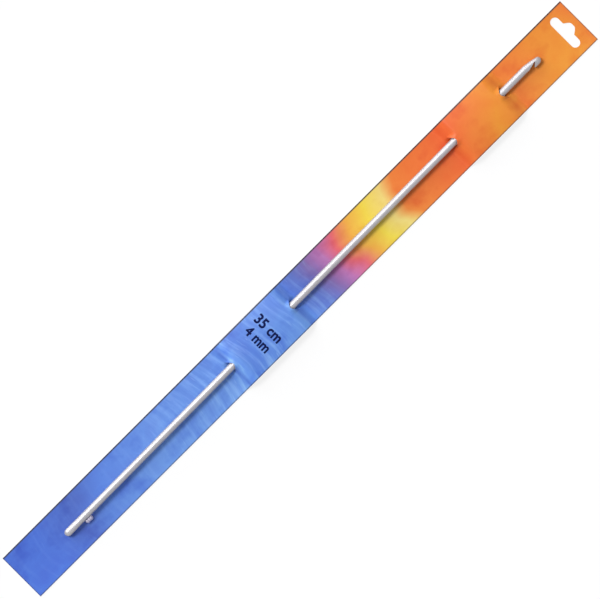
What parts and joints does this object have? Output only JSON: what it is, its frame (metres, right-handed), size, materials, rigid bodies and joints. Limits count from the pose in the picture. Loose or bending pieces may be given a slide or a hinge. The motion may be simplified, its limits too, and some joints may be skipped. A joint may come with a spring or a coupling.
{
  "type": "double-ended crochet hook on a hanging card",
  "caption": "Long thin aluminium crochet hook with a hooked head at each end, threaded under two raised bridges of a narrow printed hanging card.",
  "frame": {"origin": "the middle of the card's footprint, on the surface that the card lies on", "axes": "+X along the card from its foot to the end with the hang slot, +Y across the card, +Z out of its printed face"},
  "size_m": [0.41, 0.028, 0.0064],
  "materials": {
    "hook_metal": "satin anodised, drawn lengthwise",
    "printed_board": "coated board with a blended blue to orange print, bare grey back",
    "clear_glue": "clear set glue, slightly cloudy"
  },
  "bodies": {
    "card": {"hanging_card": "printed_board"},
    "hook": {"hook": "hook_metal", "glue_tack": "clear_glue"}
  },
  "joints": [
    {"name": "hook_pull_out", "type": "slide", "parent": "card", "child": "hook", "axis": [-1, -0.0065, 0.0036], "range_m": [0, 0.39]}
  ]
}
